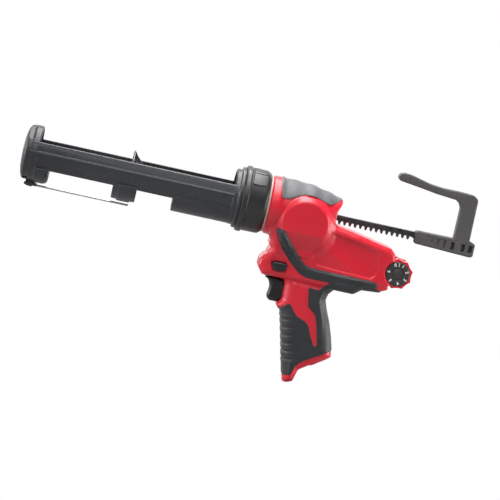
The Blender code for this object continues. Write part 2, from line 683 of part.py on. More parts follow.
def planet_centre(k):
    angle = 2 * math.pi * k / 3
    return (0, MOTOR_Y + PLANET_ORBIT * math.cos(angle), MOTOR_Z + PLANET_ORBIT * math.sin(angle))


def gear_along_x(name, teeth, x0, x1, centre, turn):
    outline = gear_outline(teeth, PLANET_MODULE, turn)
    shifted = [(centre[1] + y, centre[2] + z) for y, z in outline]
    return rod_section(name, shifted, x0, x1)


def make_planets(looks):
    for k in range(3):
        centre = planet_centre(k)
        turn = math.pi / PLANET_TEETH
        planet = gear_along_x(f"planet_gear_{k + 1}", PLANET_TEETH, 217.6, 225.8, centre, turn)
        cut(planet, cylinder("bore", 210, 230, 1.5, "X", centre, 12))
        finish(planet, looks["steel"], (221.7, centre[1], centre[2]))


def make_motor(looks):
    at = (0, MOTOR_Y, MOTOR_Z)
    armature = gear_along_x("armature", SUN_TEETH, 217.8, 227, at, 0.0)
    weld(armature, cylinder("shaft", 226, 270.5, 1.6, "X", at, 16))
    weld(armature, cylinder("rotor", 234, 258, 9.4, "X", at, 24))
    weld(armature, cylinder("commutator", 257.5, 263, 3.6, "X", at, 20))
    finish(armature, looks["dark_steel"], (250, MOTOR_Y, MOTOR_Z))
    can = turned("motor_can", (
        (228.2, 2.2), (228.2, 12.5), (266, 12.5), (266, 11.3), (230, 11.3), (230, 2.2),
    ), "X", at, 32)
    finish(can, looks["steel"])
    cap = turned("motor_end_cap", ((265.6, 2.2), (265.6, 11.0), (269, 11.0), (269, 2.2)), "X", at, 24)
    finish(cap, looks["black_plastic"])
    ring = cylinder("ring_gear", 213.0, 227.8, 13.6, "X", at, 40)
    outline = gear_outline(RING_TEETH, PLANET_MODULE, 0.0, internal=True)
    shifted = [(MOTOR_Y + y, MOTOR_Z + z) for y, z in outline]
    cut(ring, rod_section("teeth", shifted, 215.0, 230))
    cut(ring, cylinder("bore", 210, 216, 4.0, "X", at, 24))
    finish(ring, looks["steel"])
    finish(tube("worm_bearing", 203.0, 209.0, 3.9, 8.0, "X", at, 24), looks["steel"])


def main():
    for old in list(bpy.data.objects):
        bpy.data.objects.remove(old)
    looks = make_materials()
    make_carriage(looks)
    make_collar(looks)
    make_wire(looks)
    make_rack(looks)
    make_plunger(looks)
    make_hook(looks)
    make_housing(looks)
    make_rubber(looks)
    make_screws(looks)
    make_controls(looks)
    make_dial(looks)
    make_rack_drive(looks)
    make_worm_wheel(looks)
    make_carrier(looks)
    make_planets(looks)
    make_motor(looks)


main()
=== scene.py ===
"""The finished look of the caulking gun: smooth moulded shells, rubber, gears, materials, light and camera.

Shapes are drawn in millimetres in the model's own frame and turned into metres as each piece is finished.
Outlines are (x, z) seen from the tool's left side, which is -Y.
"""

import json
import math

import bmesh
import bpy
import numpy as np
from mathutils import Matrix, Vector
from mathutils.bvhtree import BVHTree


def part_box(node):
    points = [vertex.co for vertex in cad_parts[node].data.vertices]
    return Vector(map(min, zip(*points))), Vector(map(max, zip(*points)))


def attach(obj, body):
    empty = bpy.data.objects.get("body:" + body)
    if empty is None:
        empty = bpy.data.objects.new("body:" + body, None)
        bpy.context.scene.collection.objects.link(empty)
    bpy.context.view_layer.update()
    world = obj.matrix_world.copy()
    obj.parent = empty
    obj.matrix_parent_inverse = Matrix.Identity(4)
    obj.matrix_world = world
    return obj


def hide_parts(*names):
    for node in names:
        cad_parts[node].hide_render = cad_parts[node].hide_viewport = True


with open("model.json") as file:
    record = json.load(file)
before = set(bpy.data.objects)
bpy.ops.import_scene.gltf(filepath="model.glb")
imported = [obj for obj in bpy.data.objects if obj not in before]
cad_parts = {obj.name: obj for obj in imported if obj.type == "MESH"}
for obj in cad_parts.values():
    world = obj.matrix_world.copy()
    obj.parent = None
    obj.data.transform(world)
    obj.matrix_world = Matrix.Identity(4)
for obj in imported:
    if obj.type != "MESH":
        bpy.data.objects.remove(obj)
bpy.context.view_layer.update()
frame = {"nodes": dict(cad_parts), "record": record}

MM = 0.001
JOINTS = {joint["name"]: joint for joint in frame["record"]["behaviour"]["joints"]}


def joint_point(name):
    """Where a joint's axis is, in millimetres."""
    return Vector(JOINTS[name]["pos_m"]) / MM


def cad(node):
    """A CAD node's lowest and highest corner, in millimetres."""
    low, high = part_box(node)
    return Vector(low) / MM, Vector(high) / MM


DRIVE = joint_point("pinion_spin")
DIAL = joint_point("dial_turn")
WIRE_PIVOT = joint_point("wire_swing")
COLLAR_LOW, COLLAR_HIGH = cad("locking_collar")
COLLAR_RADIUS = COLLAR_HIGH.z
CARRIAGE_LOW = cad("carriage_frame")[0]
YOKE_FRONT = CARRIAGE_LOW.x + 0.4
CARTRIDGE_SEAT = -108.0
BORE = 26.0
NECK_FRONT = COLLAR_HIGH.x + 2.5
BARREL_REAR = 219.0
DOME_RADIUS = 28.5
DOME_Z = DRIVE.z + 0.7
BUMPER_RISE = 2.6
MARK_RADIUS = 9.7
LEFT_RIGHT = ((-1, "left"), (1, "right"))

BODY_OUTLINE = (
    (151.6, -14), (152.6, -22), (155.4, -31), (158.4, -45), (150.4, -55.5), (149.8, -64), (156, -71.8),
    (253, -71.4), (260.5, -65.6), (279, -64.4), (287, -61), (292, -50), (292, -33), (287.4, -22.4),
    (282.6, -17.4), (268.5, -14.8), (246, -10.2), (221, -6), (190, -5),
)
HANDLE_OUTLINE = (
    (176, -66), (181.2, -77), (181.8, -92), (177.2, -100.5), (184, -105), (188, -119), (194, -143),
    (200, -169), (202, -178.8), (213.6, -178), (217.4, -163.6), (241.6, -147), (246.6, -143),
    (245.4, -136.5), (241, -121), (236.4, -108), (230.6, -95), (227, -85), (228.6, -78), (233, -73),
    (233, -66),
)
GRIP_OUTLINE = (
    (165, -108), (177.5, -103.5), (182.6, -102.8), (189.4, -95.2), (192.7, -96.3), (196.5, -102.1),
    (201.9, -107.1), (210.5, -110.1), (215, -114), (219.7, -123.9), (225.1, -134.3), (227.9, -133.1),
    (227.6, -130.7), (223.8, -114.5), (219.7, -101.9), (215.2, -98), (210.1, -94.3), (206.2, -74.3),
    (217.5, -75.5), (219.3, -72.6), (224.9, -66.4), (229, -63.6), (272, -60.5), (281, -63), (282, -80),
    (262, -120), (262, -134), (245, -135.4), (236.9, -140.2), (217.4, -151.9), (212.3, -156.2),
    (207.8, -168.8), (200.3, -171.1), (165, -173),
)
STRIPE_OUTLINE = (
    (159.2, -20.2), (168.3, -20.2), (172.2, -25.5), (179.5, -34), (192.5, -48), (198.5, -52.8), (209.7, -54),
    (269.6, -54), (277, -56.6), (275.6, -60.4), (272.7, -62.4), (220.7, -65.2), (201.2, -65.2),
    (193.3, -62.6), (179.6, -51), (168.4, -38.7), (160.8, -26),
)
STRIPE_LOWER_REGION = (
    (120, -26), (160.8, -26), (168.4, -38.7), (179.6, -51), (193.3, -62.6), (201.2, -65.2), (220.7, -65.2),
    (272.7, -62.4), (320, -62.4), (320, 40), (120, 40),
)
PAD_OUTLINE = (
    (156.6, 60), (155.9, 23.6), (158, 11.8), (160, 10.9), (165.7, 11.5), (170.7, 14.1), (177.9, 17.4),
    (182.3, 18.8), (189.6, 19.2), (198.8, 17.2), (208.2, 13.6), (210.4, 14), (221.6, 20.4), (221.6, 60),
)
PANEL_OUTLINE = (
    (186, -22), (193.3, -29.5), (198.8, -38.1), (208.7, -50.4), (230, -51.6), (267, -52.8), (271.4, -48.6),
    (273, -38.4), (270.5, -29), (266, -24.5), (245, -18.5), (216, -12.5), (205, -12.5),
)
SOCKET_OUTLINE = (
    (190, -112), (191.3, -119), (197.5, -143), (208.5, -183), (222, -183), (232, -140), (236.5, -133),
    (231, -112),
)


# Mesh tools, all in millimetres


def shape(bm):
    """A new object from a bmesh, its faces all turned outwards."""
    bmesh.ops.recalc_face_normals(bm, faces=bm.faces)
    mesh = bpy.data.meshes.new("shape")
    bm.to_mesh(mesh)
    bm.free()
    made = bpy.data.objects.new("shape", mesh)
    bpy.context.scene.collection.objects.link(made)
    return made


def shrink(outline, depth):
    """The outline moved inwards by depth, with mitred corners."""
    points = [Vector(p) for p in outline]
    closed = points + points[:1]
    area = sum(a.x * b.y - b.x * a.y for a, b in zip(closed, closed[1:]))
    turn = 1 if area > 0 else -1
    moved = []
    for i, here in enumerate(points):
        before = (here - points[i - 1]).normalized()
        after = (points[(i + 1) % len(points)] - here).normalized()
        normal_a = Vector((-before.y, before.x)) * turn
        normal_b = Vector((-after.y, after.x)) * turn
        middle = (normal_a + normal_b).normalized()
        moved.append(here + middle * depth / max(0.35, middle.dot(normal_a)))
    return [(p.x, p.y) for p in moved]


def rounded(outline, radius, steps=5):
    """The outline with each corner turned into an arc of about the given radius."""
    points = [Vector(p) for p in outline]
    result = []
    for i, corner in enumerate(points):
        to_before = points[i - 1] - corner
        to_after = points[(i + 1) % len(points)] - corner
        reach = min(radius, to_before.length * 0.45, to_after.length * 0.45)
        start = corner + to_before.normalized() * reach
        end = corner + to_after.normalized() * reach
        for k in range(steps + 1):
            t = k / steps
            point = start * (1 - t) ** 2 + corner * 2 * t * (1 - t) + end * t ** 2
            result.append((point.x, point.y))
    return result


def loft(sections):
    """A closed solid through a run of rings that have the same number of points."""
    bm = bmesh.new()
    rings = [[bm.verts.new(p) for p in section] for section in sections]
    for near, far in zip(rings, rings[1:]):
        for i in range(len(near)):
            j = (i + 1) % len(near)
            bm.faces.new((near[i], near[j], far[j], far[i]))
    bm.faces.new(rings[0])
    bm.faces.new(list(reversed(rings[-1])))
    return shape(bm)


def slab(outline, levels):
    """An (x, z) outline carried along Y; each level is (y, how far the outline shrinks)."""
    return loft([[(x, y, z) for x, z in shrink(outline, depth)] for y, depth in levels])


def plate(outline, y0, y1):
    """An (x, z) outline carried straight from y0 to y1."""
    return slab(outline, ((y0, 0.0), (y1, 0.0)))


def pillow(outline, half_width, edge, centre=0.0):
    """A slab whose two rims are rounded by an elliptical edge, as wide as it is deep."""
    ease = [(math.sin(a) * edge, (1 - math.cos(a)) * edge) for a in (math.pi * k / 12 for k in range(7))]
    levels = [(centre + half_width - edge + out, depth) for out, depth in ease]
    mirrored = [(2 * centre - y, depth) for y, depth in reversed(levels)]
    return slab(outline, mirrored + levels)


def circle(x, z, radius, y):
    """A ring of points across Y."""
    sides = 96
    angles = [2 * math.pi * k / sides for k in range(sides)]
    return [(x + radius * math.cos(a), y, z + radius * math.sin(a)) for a in angles]


def along_x(outline, x0, x1):
    """A (y, z) outline carried along X."""
    return loft([[(x, y, z) for y, z in outline] for x in (x0, x1)])


def block(xs, ys, zs):
    """A box; each range is (low, high)."""
    return plate(((xs[0], zs[0]), (xs[1], zs[0]), (xs[1], zs[1]), (xs[0], zs[1])), ys[0], ys[1])


def turned(profile, axis="X", centre=(0, 0, 0), sides=96, sector=None):
    """A turned solid. The profile is a closed run of (along the axis, radius); sector is in degrees."""
    bm = bmesh.new()
    start, end = sector or (0.0, 360.0)
    steps = sides if sector is None else max(3, round(sides * (end - start) / 360))
    count = steps if sector is None else steps + 1
    rings = []
    for i in range(count):
        angle = math.radians(start + (end - start) * i / steps)
        ring = []
        for along, radius in profile:
            across, up = radius * math.cos(angle), radius * math.sin(angle)
            spot = (along, across, up) if axis == "X" else (across, along, up)
            ring.append(bm.verts.new(Vector(spot) + Vector(centre)))
        rings.append(ring)
    for i in range(steps):
        near, far = rings[i], rings[(i + 1) % count]
        for j in range(len(profile)):
            k = (j + 1) % len(profile)
            bm.faces.new((near[j], near[k], far[k], far[j]))
    if sector:
        bm.faces.new(rings[0])
        bm.faces.new(list(reversed(rings[-1])))
    bmesh.ops.remove_doubles(bm, verts=bm.verts, dist=1e-4)
    bmesh.ops.dissolve_degenerate(bm, edges=bm.edges, dist=1e-5)
    for edge in [e for e in bm.edges if not e.link_faces]:
        bm.edges.remove(edge)
    return shape(bm)


def half_space(side, gap):
    """Everything on one side of the tool's middle plane, from gap outwards."""
    return block((100, 340), sorted((side * gap, side * 60)), (-200, 80))


def cylinder(start, end, radius, axis="Y", centre=(0, 0, 0), sides=48):
    return turned(((start, 0), (start, radius), (end, radius), (end, 0)), axis, centre, sides)


def tube(start, end, inner, outer):
    return turned(((start, inner), (start, outer), (end, outer), (end, inner)))


def baked(made):
    """Applies every modifier of the object."""
    bpy.context.view_layer.update()
    evaluated = made.evaluated_get(bpy.context.evaluated_depsgraph_get())
    mesh = bpy.data.meshes.new_from_object(evaluated)
    made.modifiers.clear()
    made.data = mesh
    return made


def combine(target, others, operation, solver="MANIFOLD"):
    """Applies one Boolean for each of the others, which are used up."""
    for other in others:
        modifier = target.modifiers.new("combine", "BOOLEAN")
        modifier.operation = operation
        modifier.solver = solver
        modifier.object = other
        baked(target)
        bpy.data.objects.remove(other)
    return target


def cut(target, *others):
    return combine(target, others, "DIFFERENCE")


def weld(target, *others):
    return combine(target, others, "UNION")


def keep(target, *others):
    return combine(target, others, "INTERSECT")


def copied(source):
    made = source.copy()
    made.data = source.data.copy()
    bpy.context.scene.collection.objects.link(made)
    return made


def moulded(made, voxel, rounds):
    """Runs the shape through a fine remesh, so that its edges and joins turn into small fillets."""
    remesh = made.modifiers.new("remesh", "REMESH")
    remesh.mode = "VOXEL"
    remesh.voxel_size = voxel
    relax = made.modifiers.new("relax", "SMOOTH")
    relax.factor = 0.5
    relax.iterations = rounds
    return baked(made)


def softened(made, width):
    """Rounds the sharp edges of a crisp shape."""
    bevel = made.modifiers.new("edge", "BEVEL")
    bevel.width = width
    bevel.segments = 2
    bevel.limit_method = "ANGLE"
    bevel.angle_limit = math.radians(38)
    return baked(made)


def joined(*parts):
    """One mesh of several closed shells."""
    bm = bmesh.new()
    for part in parts:
        bm.from_mesh(part.data)
    for part in parts:
        bpy.data.objects.remove(part)
    return shape(bm)


def meshed(data):
    """A curve or a text turned into a mesh object."""
    holder = bpy.data.objects.new("holder", data)
    bpy.context.scene.collection.objects.link(holder)
    bpy.context.view_layer.update()
    mesh = bpy.data.meshes.new_from_object(holder.evaluated_get(bpy.context.evaluated_depsgraph_get()))
    bpy.data.objects.remove(holder)
    made = bpy.data.objects.new("shape", mesh)
    bpy.context.scene.collection.objects.link(made)
    return made


def points_of(made):
    points = np.empty(len(made.data.vertices) * 3)
    made.data.vertices.foreach_get("co", points)
    return points.reshape(-1, 3)


def normals_of(made):
    normals = np.empty(len(made.data.vertices) * 3)
    made.data.vertices.foreach_get("normal", normals)
    return normals.reshape(-1, 3)


def set_points(made, points):
    made.data.vertices.foreach_set("co", points.astype(np.float32).ravel())
    made.data.update()


def inflated(made, amount):
    """Moves every point out along its normal; amount is a number or one value per point."""
    amount = np.broadcast_to(amount, len(made.data.vertices))
    set_points(made, points_of(made) + normals_of(made) * amount[:, None])
    return made


def ramp(value, low, high):
    """0 below low, 1 above high, and smooth between."""
    t = np.clip((value - low) / (high - low), 0, 1)
    return t * t * (3 - 2 * t)


def depth_inside(outline, x, z):
    """Signed distance to an outline, positive inside."""
    nearest = np.full(len(x), 1e9)
    inside = np.zeros(len(x), bool)
    for (ax, az), (bx, bz) in zip(outline, outline[1:] + outline[:1]):
        ex, ez = bx - ax, bz - az
        t = np.clip(((x - ax) * ex + (z - az) * ez) / (ex * ex + ez * ez), 0, 1)
        nearest = np.minimum(nearest, np.hypot(x - ax - t * ex, z - az - t * ez))
        crosses = (az > z) != (bz > z)
        if abs(ez) > 1e-9:
            inside ^= crosses & (x < ax + (z - az) * ex / ez)
    return np.where(inside, nearest, -nearest)


def finish(made, name, look, body, nodes=(), sharp=40):
    """Names the piece, scales it to metres, gives it its material and ties it to its CAD body."""
    made.name = name
    made.data.name = name
    made.data.transform(Matrix.Scale(MM, 4))
    made.data.materials.clear()
    made.data.materials.append(look)
    made.data.shade_smooth()
    made.data.set_sharp_from_angle(angle=math.radians(sharp))
    if nodes:
        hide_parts(*nodes)
    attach(made, body)
    return made


# Materials


class Nodes:
    """A short way to write a material's nodes."""

    def __init__(self, name):
        self.material = bpy.data.materials.new(name)
        self.material.use_nodes = True
        self.tree = self.material.node_tree
        self.shader = self.tree.nodes["Principled BSDF"]
        self.place = self.tree.nodes.new("ShaderNodeTexCoord").outputs["Object"]

    def link(self, source, target):
        self.tree.links.new(source, target)

    def noise(self, scale, detail=3.0):
        node = self.tree.nodes.new("ShaderNodeTexNoise")
        node.inputs["Scale"].default_value = scale
        node.inputs["Detail"].default_value = detail
        node.inputs["Roughness"].default_value = 0.55
        self.link(self.place, node.inputs["Vector"])
        return node.outputs["Fac"]

    def voronoi(self, scale):
        node = self.tree.nodes.new("ShaderNodeTexVoronoi")
        node.inputs["Scale"].default_value = scale
        self.link(self.place, node.inputs["Vector"])
        return node.outputs["Distance"]

    def stretch(self, value, low, high, to_low, to_high):
        node = self.tree.nodes.new("ShaderNodeMapRange")
        for socket, number in zip(("From Min", "From Max", "To Min", "To Max"), (low, high, to_low, to_high)):
            node.inputs[socket].default_value = number
        self.link(value, node.inputs["Value"])
        return node.outputs["Result"]

    def multiply(self, a, b):
        node = self.tree.nodes.new("ShaderNodeMath")
        node.operation = "MULTIPLY"
        self.link(a, node.inputs[0])
        self.link(b, node.inputs[1])
        return node.outputs["Value"]

    def mix(self, share, a, b):
        """Mixes two colours; each is a socket or a plain (r, g, b)."""
        node = self.tree.nodes.new("ShaderNodeMix")
        node.data_type = "RGBA"
        self.link(share, node.inputs["Factor"])
        for value, socket in ((a, node.inputs["A"]), (b, node.inputs["B"])):
            if isinstance(value, tuple):
                socket.default_value = (*value, 1.0)
            else:
                self.link(value, socket)
        return node.outputs["Result"]

    def worn_edges(self):
        """High on sharp convex edges, broken up by noise."""
        edge = self.tree.nodes.new("ShaderNodeNewGeometry").outputs["Pointiness"]
        return self.multiply(self.stretch(edge, 0.53, 0.6, 0.0, 1.0), self.noise(420.0))

    def bump(self, height, strength, distance, before=None):
        node = self.tree.nodes.new("ShaderNodeBump")
        node.inputs["Strength"].default_value = strength
        node.inputs["Distance"].default_value = distance
        self.link(height, node.inputs["Height"])
        if before:
            self.link(before, node.inputs["Normal"])
        return node.outputs["Normal"]


def scaled(colour, factor):
    """The colour made darker or lighter."""
    return tuple(min(1.0, channel * factor) for channel in colour)


def plastic(name, colour, roughness, grain=1900.0, grain_strength=0.12, spread=0.1, coat=0.0, wear=1.8):
    """Moulded plastic: fine spark texture, faint flow marks, uneven gloss and rubbed edges."""
    n = Nodes(name)
    n.shader.inputs["Coat Weight"].default_value = coat
    n.shader.inputs["Coat Roughness"].default_value = 0.18
    mottle = n.stretch(n.noise(38.0, 4.0), 0.3, 0.7, 0.0, 1.0)
    base = n.mix(mottle, scaled(colour, 1 - spread), scaled(colour, 1 + spread))
    n.link(n.mix(n.worn_edges(), base, scaled(colour, wear)), n.shader.inputs["Base Color"])
    gloss = n.stretch(n.noise(95.0), 0.3, 0.7, roughness - 0.05, roughness + 0.07)
    n.link(gloss, n.shader.inputs["Roughness"])
    coarse = n.bump(n.noise(70.0, 2.0), 0.06, 0.0012)
    n.link(n.bump(n.noise(grain, 2.0), grain_strength, 0.0003, coarse), n.shader.inputs["Normal"])
    return n.material


def rubber(name, colour, roughness):
    """Overmoulded rubber: matt pebble texture, patchy dust and patchy gloss."""
    n = Nodes(name)
    n.shader.inputs["Specular IOR Level"].default_value = 0.42
    n.shader.inputs["Sheen Weight"].default_value = 0.12
    dust = n.stretch(n.noise(55.0, 5.0), 0.35, 0.75, 0.0, 1.0)
    base = n.mix(dust, scaled(colour, 0.86), scaled(colour, 1.22))
    n.link(n.mix(n.worn_edges(), base, scaled(colour, 1.7)), n.shader.inputs["Base Color"])
    gloss = n.stretch(n.noise(60.0), 0.3, 0.7, roughness - 0.1, roughness + 0.08)
    n.link(gloss, n.shader.inputs["Roughness"])
    n.link(n.bump(n.voronoi(1300.0), 0.22, 0.0003), n.shader.inputs["Normal"])
    return n.material


def metal(name, colour, roughness):
    """Machined metal: fine scratches, patchy oxide and bright edges."""
    n = Nodes(name)
    n.shader.inputs["Metallic"].default_value = 1.0
    patches = n.stretch(n.noise(80.0, 5.0), 0.35, 0.7, 0.0, 1.0)
    base = n.mix(patches, scaled(colour, 0.85), scaled(colour, 1.15))
    n.link(n.mix(n.worn_edges(), base, scaled(colour, 2.4)), n.shader.inputs["Base Color"])
    gloss = n.stretch(n.noise(160.0), 0.3, 0.7, roughness - 0.08, roughness + 0.12)
    n.link(gloss, n.shader.inputs["Roughness"])
    n.link(n.bump(n.noise(900.0, 4.0), 0.12, 0.0002), n.shader.inputs["Normal"])
    return n.material


def make_materials():
    return {
        "red": plastic("red_shell", (0.67, 0.012, 0.03), 0.38, 1500.0, 0.07, 0.04, 0.1, 1.2),
        "black": plastic("black_frame", (0.022, 0.023, 0.026), 0.42, grain_strength=0.05),
        "collar": plastic("collar_black", (0.019, 0.0195, 0.021), 0.4, 1700.0, 0.1),
        "hook": plastic("hook_grey", (0.082, 0.075, 0.081), 0.6, 1500.0, 0.1),
        "control": plastic("control_black", (0.012, 0.012, 0.013), 0.35),
        "dial": plastic("dial_charcoal", (0.04, 0.034, 0.037), 0.45),
        "grey_rubber": rubber("grey_rubber", (0.105, 0.106, 0.111), 0.5),
        "black_rubber": rubber("black_rubber", (0.024, 0.026, 0.029), 0.52),
        "pale": plastic("pale_plastic", (0.4, 0.36, 0.29), 0.5),
        "print": plastic("white_print", (0.8, 0.8, 0.78), 0.5, wear=1.0),
        "rack": metal("rack_black_oxide", (0.075, 0.074, 0.076), 0.42),
        "steel": metal("bright_steel", (0.5, 0.5, 0.51), 0.3),
        "wire": metal("wire_steel", (0.36, 0.36, 0.36), 0.4),
        "brass": metal("wheel_brass", (0.66, 0.45, 0.17), 0.32),
        "board": plastic("green_board", (0.015, 0.13, 0.05), 0.3),
    }


# Body shells and rubber


def tapered(points):
    """Narrows the body towards its knuckle and its tail."""
    x, y, z = points.T
    front = 1 - 0.24 * (1 - ramp(x, 150, 176)) * ramp(-z, 24, 34) * (1 - ramp(-z, 74, 82))
    tail = 1 - 0.17 * ramp(x, 246, 286) * (1 - ramp(-z, 90, 100))
    return np.stack([x, y * front * tail, z], axis=1)


def body_solid():
    """The barrel, the lower body, the gear dome with its skirt, and the handle, before they are blended."""
    barrel = turned((
        (139.3, 0), (139.3, 27.9), (NECK_FRONT, 27.9), (NECK_FRONT, 29.4), (148.6, 30.4), (156.5, 30.5),
        (160, 29.3), (178, 29.0), (192, 27.7), (204, 25.2), (213, 22.6), (BARREL_REAR, 20), (BARREL_REAR, 0),
    ))
    lower = pillow(BODY_OUTLINE, 24.0, 6.5)
    set_points(lower, tapered(points_of(lower)))
    dome = turned((
        (-31.3, 0), (-31.3, 22.8), (-30.4, 24.6), (-28.8, 25.8), (-25.2, DOME_RADIUS), (25.2, DOME_RADIUS),
        (28.8, 25.8), (30.4, 24.6), (31.3, 22.8), (31.3, 0),
    ), "Y", (DRIVE.x, 0, DOME_Z))
    skirt = loft([
        circle(DRIVE.x + shift, DOME_Z - shift, radius, y)
        for y, shift, radius in ((-31, 0, 21.4), (-23.6, 6.5, 27.5), (23.6, 6.5, 27.5), (31, 0, 21.4))
    ])
    for side in (-1, 1):
        slope = [(side * y, z) for y, z in ((31.6, -20), (23.2, -38), (23.2, -60), (50, -60), (50, -20))]
        for rounded_part in (dome, skirt):
            cut(rounded_part, along_x(slope, 150, 230))
    handle = pillow(HANDLE_OUTLINE, 19.2, 12.5)
    return joined(barrel, lower, dome, skirt, handle)


def detailed(body):
    """Presses the side panels in, ribs the knuckle's front and draws out the barrel's rear crest."""
    x, _, z = points_of(body).T
    side = ramp(np.abs(normals_of(body)[:, 1]), 0.45, 0.8)
    outside_dome = ramp(np.hypot(x - DRIVE.x, z - DOME_Z), DOME_RADIUS, DOME_RADIUS + 1.5)
    panel = ramp(depth_inside(PANEL_OUTLINE, x, z), -0.2, 1.5) * outside_dome
    front = ramp(168 - x, 0, 6) * ramp(-29 - z, 0, 2) * ramp(z + 52, 0, 2)
    rib_height, rib_pitch = 0.9, 7.2
    ribs = rib_height * np.cos((z + 31) * 2 * math.pi / rib_pitch)
    inflated(body, front * ribs * (1 - side) - panel * side)
    points = points_of(body)
    crest = ramp(z, 6, 19) * ramp(x, BARREL_REAR - 6, BARREL_REAR)
    points[:, 0] += 4.2 * crest
    points[:, 2] += 0.8 * crest
    set_points(body, points)
    return body


def socket():
    """The battery's room in the handle."""
    return slab(SOCKET_OUTLINE, ((-13.4, 3.2), (-10, 0), (10, 0), (13.4, 3.2)))


def openings(body):
    """The battery socket, the rack's way through and the dial's room."""
    rack_exit = block((200, 226), (-5.2, 5.2), (-6.6, 5.2))
    barrel_mouth = cylinder(130, 144, 9.0, "X")
    wheel_room = cylinder(-17.9, 17.9, 17.6, centre=DIAL)
    face_room = cylinder(-30, 30, 13.5, centre=DIAL)
    return cut(body, socket(), rack_exit, barrel_mouth, wheel_room, face_room)


def trigger_room():
    """The slot the trigger slides back into."""
    low, high = cad("trigger")
    travel = JOINTS["trigger_squeeze"]["range_m"][1] / MM
    xs = (low.x - 6, high.x + travel + 2.5)
    return block(xs, (low.y - 0.8, high.y + 0.8), (low.z - 0.7, high.z + 0.7))


def control_holes(body):
    """The trigger's slot and the hole through which the lock button slides."""
    cut(body, trigger_room())
    low, high = cad("lock_button")
    outline = rounded(shrink(button_outline(), -0.5), 2.0)
    return cut(body, plate(outline, low.y - 8, high.y + 8))


def make_body(looks):
    """Both shells are halves of one body; the rubber parts are cut from a copy of its surface."""
    body = detailed(moulded(body_solid(), 0.7, 7))
    base = copied(body)
    openings(control_holes(body))
    surface = BVHTree.FromObject(body, bpy.context.evaluated_depsgraph_get())
    make_screws(looks, body, surface)
    moulded(body, 0.6, 2)
    for side, name in LEFT_RIGHT:
        half = combine(copied(body), [half_space(side, 0.03)], "INTERSECT", "FAST")
        finish(half, f"shell_{name}", looks["red"], "housing", [f"housing_{name}"])
    bpy.data.objects.remove(body)
    make_pad(looks, base)
    make_bumpers(looks, base)
    make_grips(looks, base)
    bpy.data.objects.remove(base)


def make_pad(looks, base):
    """The grey grip pad over the barrel, with finger waves across it."""
    pad = copied(base)
    x = points_of(pad)[:, 0]
    rise, wave_height, wave_pitch = 1.15, 0.45, 19.6
    wave = wave_height * np.cos((x - 170) * 2 * math.pi / wave_pitch)
    inflated(pad, rise + wave * ramp(x, 158, 164))
    keep(pad, plate(rounded(PAD_OUTLINE, 1.4), -40, 40))
    cut(pad, turned(((100, 0), (100, 26), (190, 25), (205, 21), (217, 16), (217, 0))))
    finish(moulded(pad, 0.6, 4), "top_pad", looks["grey_rubber"], "housing", ["top_grip_pad"])


def make_bumpers(looks, base):
    """The black side bands: steep at the upper edge and bevelled towards the lower one."""
    outline = rounded(STRIPE_OUTLINE, 2.0)
    rim = 0.5
    for side, name in LEFT_RIGHT:
        band = keep(copied(base), block((150, 290), sorted((side * 13, side * 40)), (-75, -10)))
        x, _, z = points_of(band).T
        upper = ramp(depth_inside(outline, x, z), 0.6, 2.6)
        lower = np.clip((depth_inside(STRIPE_LOWER_REGION, x, z) - 0.4) / 5.0, 0, 1)
        inflated(band, rim + (BUMPER_RISE - rim) * np.minimum(upper, lower))
        keep(band, plate(outline, -40, 40))
        moulded(band, 0.5, 3)
        finish(band, f"bumper_{name}", looks["black_rubber"], "housing", [f"side_bumper_{name}"])


def make_grips(looks, base):
    """The black rubber on the handle, with grooves down its front for the fingers."""
    sleeve = keep(copied(base), block((150, 300), (-40, 40), (-180, -60)))
    x, _, z = points_of(sleeve).T
    lean = 0.24
    along = z - lean * (x - 185)
    from_front = x - 183.4 + lean * (z + 104.5)
    strip = ramp(13.5 - from_front, 0, 3) * ramp(-108 - along, 0, 3) * ramp(along + 164, 0, 4)
    groove_pitch = 8.6
    groove = np.maximum(0, np.cos((along + 114) * 2 * math.pi / groove_pitch)) ** 4
    inflated(sleeve, 0.8 + 0.45 * strip - strip * groove)
    keep(sleeve, plate(rounded(GRIP_OUTLINE, 1.6), -40, 40))
    cut(sleeve, socket(), trigger_room())
    for side, name in LEFT_RIGHT:
        half = keep(copied(sleeve), half_space(side, 0.12))
        moulded(half, 0.6, 4)
        finish(half, f"grip_{name}", looks["black_rubber"], "housing", [f"handle_grip_{name}"])
    bpy.data.objects.remove(sleeve)


def star(radius, depth):
    """A six-lobed driver recess."""
    lobes, steps = 6, 4
    outline = []
    for k in range(lobes * steps * 2):
        angle = math.pi * k / (lobes * steps)
        reach = radius - depth * (0.5 - 0.5 * math.cos(lobes * angle))
        outline.append((reach * math.cos(angle), reach * math.sin(angle)))
    return outline


def make_screws(looks, body, surface):
    """Each screw sits in a pocket in the right shell, whose depth follows the shell's surface."""
    for number in range(1, 7):
        node = f"housing_screw_{number}"
        low, high = cad(node)
        x, z = (low.x + high.x) / 2, (low.z + high.z) / 2
        hit = surface.ray_cast(Vector((x, 60, z)), Vector((0, -1, 0)))[0]
        top = hit.y - 1.6
        cut(body, cylinder(top - 1.9, top + 30, 3.3, centre=(x, 0, z)))
        head = turned((
            (top - 6, 0), (top - 6, 1.4), (top - 1.6, 1.4), (top - 1.6, 2.8), (top - 0.5, 2.8),
            (top - 0.1, 2.3), (top, 1.6), (top, 0),
        ), "Y", (x, 0, z), 40)
        recess = [(x + a, z + b) for a, b in star(1.5, 0.4)]
        cut(head, plate(recess, top - 1.0, top + 2))
        finish(head, f"screw_{number}", looks["rack"], "housing", [node])


# Front: carriage, collar, wire


